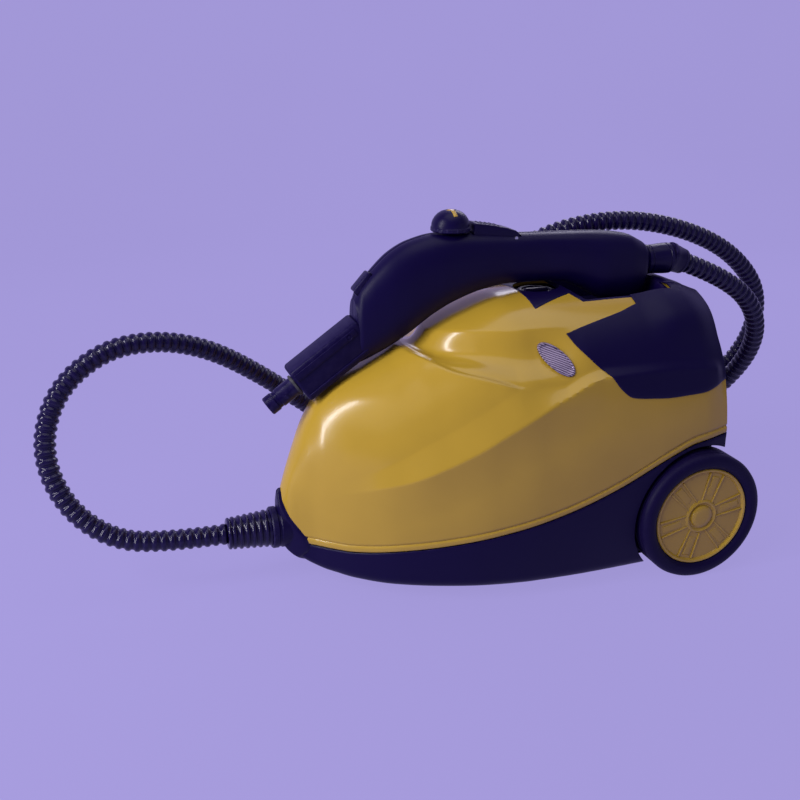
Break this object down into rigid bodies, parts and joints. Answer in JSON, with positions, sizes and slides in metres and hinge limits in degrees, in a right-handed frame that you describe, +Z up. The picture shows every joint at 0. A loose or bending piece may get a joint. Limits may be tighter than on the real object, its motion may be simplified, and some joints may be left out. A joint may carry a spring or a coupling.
{
  "type": "canister steam cleaner",
  "caption": "Wheeled canister steam cleaner with a rounded casing, a parked steam gun on top and a stiff ribbed hose looped from nose to gun.",
  "frame": {"origin": "on the floor, under the middle of the machine's box with its gun parked, hose and cuff left out", "axes": "+X from nose to rear, +Y to the hose's side (the right-hand side seen from behind), +Z up"},
  "size_m": [0.7821, 0.3055, 0.33],
  "materials": {
    "black_casing": "satin moulded plastic, fine grain",
    "yellow_casing": "glossy moulded plastic",
    "black_plastic": "satin moulded plastic",
    "hose_plastic": "satin ribbed flexible plastic",
    "tyre": "smooth hard rubber",
    "seal_rubber": "moulded seal rubber",
    "boiler_metal": "die-cast, satin",
    "steel": "plated",
    "brass": "machined",
    "switchgear": "phenolic",
    "lamp_lens": "tinted clear plastic",
    "rocker_red": "polished",
    "badge_metal": "hatched, bright",
    "feed_tube": "smooth heat-proof tube"
  },
  "bodies": {
    "machine": {"base_shell": "black_casing", "upper_shell": "yellow_casing", "rear_cover": "black_casing", "deck_panel": "black_casing", "cap_cup": "black_plastic", "nose_socket": "black_casing", "boiler_pot": "boiler_metal", "boiler_lid": "boiler_metal", "boiler_gasket": "seal_rubber", "boiler_bolts": "steel", "filler_neck": "brass", "heating_element": "steel", "boiler_bracket": "steel", "thermostat": "switchgear", "thermal_fuse": "switchgear", "steam_valve": "brass", "steam_pipe": "brass", "terminal_block": "switchgear", "cord_gland": "black_plastic", "indicator_lamps": "lamp_lens", "case_screws": "steel", "side_badges": "badge_metal", "rear_axle": "steel", "axle_clips": "steel", "rocker_frame": "black_plastic", "steam_hose": "hose_plastic", "hose_cuff": "hose_plastic"},
    "wheel_near": {"tyre_near": "tyre", "wheel_disc_near": "yellow_casing"},
    "wheel_far": {"tyre_far": "tyre", "wheel_disc_far": "yellow_casing"},
    "caster_fork": {"caster_fork": "black_plastic", "caster_pin": "steel"},
    "caster_wheel": {"caster_wheel": "tyre"},
    "cap_gasket": {"cap_gasket": "seal_rubber"},
    "safety_cap": {"safety_cap": "black_plastic"},
    "power_rocker": {"power_rocker": "rocker_red"},
    "steam_gun": {"gun_shell_far": "black_casing", "gun_shell_near": "black_casing", "gun_barrel": "black_casing", "nozzle_tip": "black_plastic", "nozzle_seal": "seal_rubber", "button_spring": "steel", "lever_pin": "steel", "lever_spring": "steel", "gun_valve": "brass", "gun_feed_tube": "feed_tube", "gun_steam_tube": "feed_tube", "hose_collar": "black_plastic"},
    "steam_dial": {"steam_dial": "black_plastic", "dial_pointer": "yellow_casing"},
    "steam_lever": {"steam_lever": "black_plastic"},
    "release_button": {"release_button": "black_plastic"}
  },
  "joints": [
    {"name": "wheel_near_spin", "type": "hinge", "parent": "machine", "child": "wheel_near", "pos_m": [0.157, -0.1085, 0.0605], "axis": [0, 1, 0], "continuous": true},
    {"name": "wheel_far_spin", "type": "hinge", "parent": "machine", "child": "wheel_far", "pos_m": [0.157, 0.1085, 0.0605], "axis": [0, 1, 0], "continuous": true},
    {"name": "caster_swivel", "type": "hinge", "parent": "machine", "child": "caster_fork", "pos_m": [-0.118, 0, 0.05], "axis": [0, 0, 1], "continuous": true},
    {"name": "caster_spin", "type": "hinge", "parent": "caster_fork", "child": "caster_wheel", "pos_m": [-0.105, 0, 0.015], "axis": [0, 1, 0], "continuous": true},
    {"name": "cap_rise", "type": "slide", "parent": "machine", "child": "cap_gasket", "axis": [0, 0, 1], "range_m": [0, 0.004]},
    {"name": "cap_turn", "type": "hinge", "parent": "cap_gasket", "child": "safety_cap", "pos_m": [0.04, 0, 0.24], "axis": [0, 0, 1], "range_deg": [0, 360]},
    {"name": "rocker_tip", "type": "hinge", "parent": "machine", "child": "power_rocker", "pos_m": [0.1845, -0.024, 0.2115], "axis": [0, 1, 0], "range_deg": [0, 16]},
    {"name": "gun_lift", "type": "slide", "parent": "machine", "child": "steam_gun", "axis": [0, 0, 1], "range_m": [0, 0.08]},
    {"name": "dial_turn", "type": "hinge", "parent": "steam_gun", "child": "steam_dial", "pos_m": [-0.045, 0, 0.31], "axis": [0, 0, 1], "range_deg": [-60, 60]},
    {"name": "lever_press", "type": "hinge", "parent": "steam_gun", "child": "steam_lever", "pos_m": [0.013, 0, 0.3035], "axis": [0, -1, 0], "range_deg": [0, 7], "stiffness_Nm_per_rad": 0.06, "springref_deg": -11.46, "deforming": ["lever_spring"]},
    {"name": "release_press", "type": "slide", "parent": "steam_gun", "child": "release_button", "axis": [0.7431, 0, -0.6691], "range_m": [0, 0.0025], "stiffness_N_per_m": 150, "springref_m": -0.003, "deforming": ["button_spring"]}
  ],
  "couplings": [
    {"joint": "cap_rise", "follows": "cap_turn", "m_per_rad": 0.00063662}
  ]
}
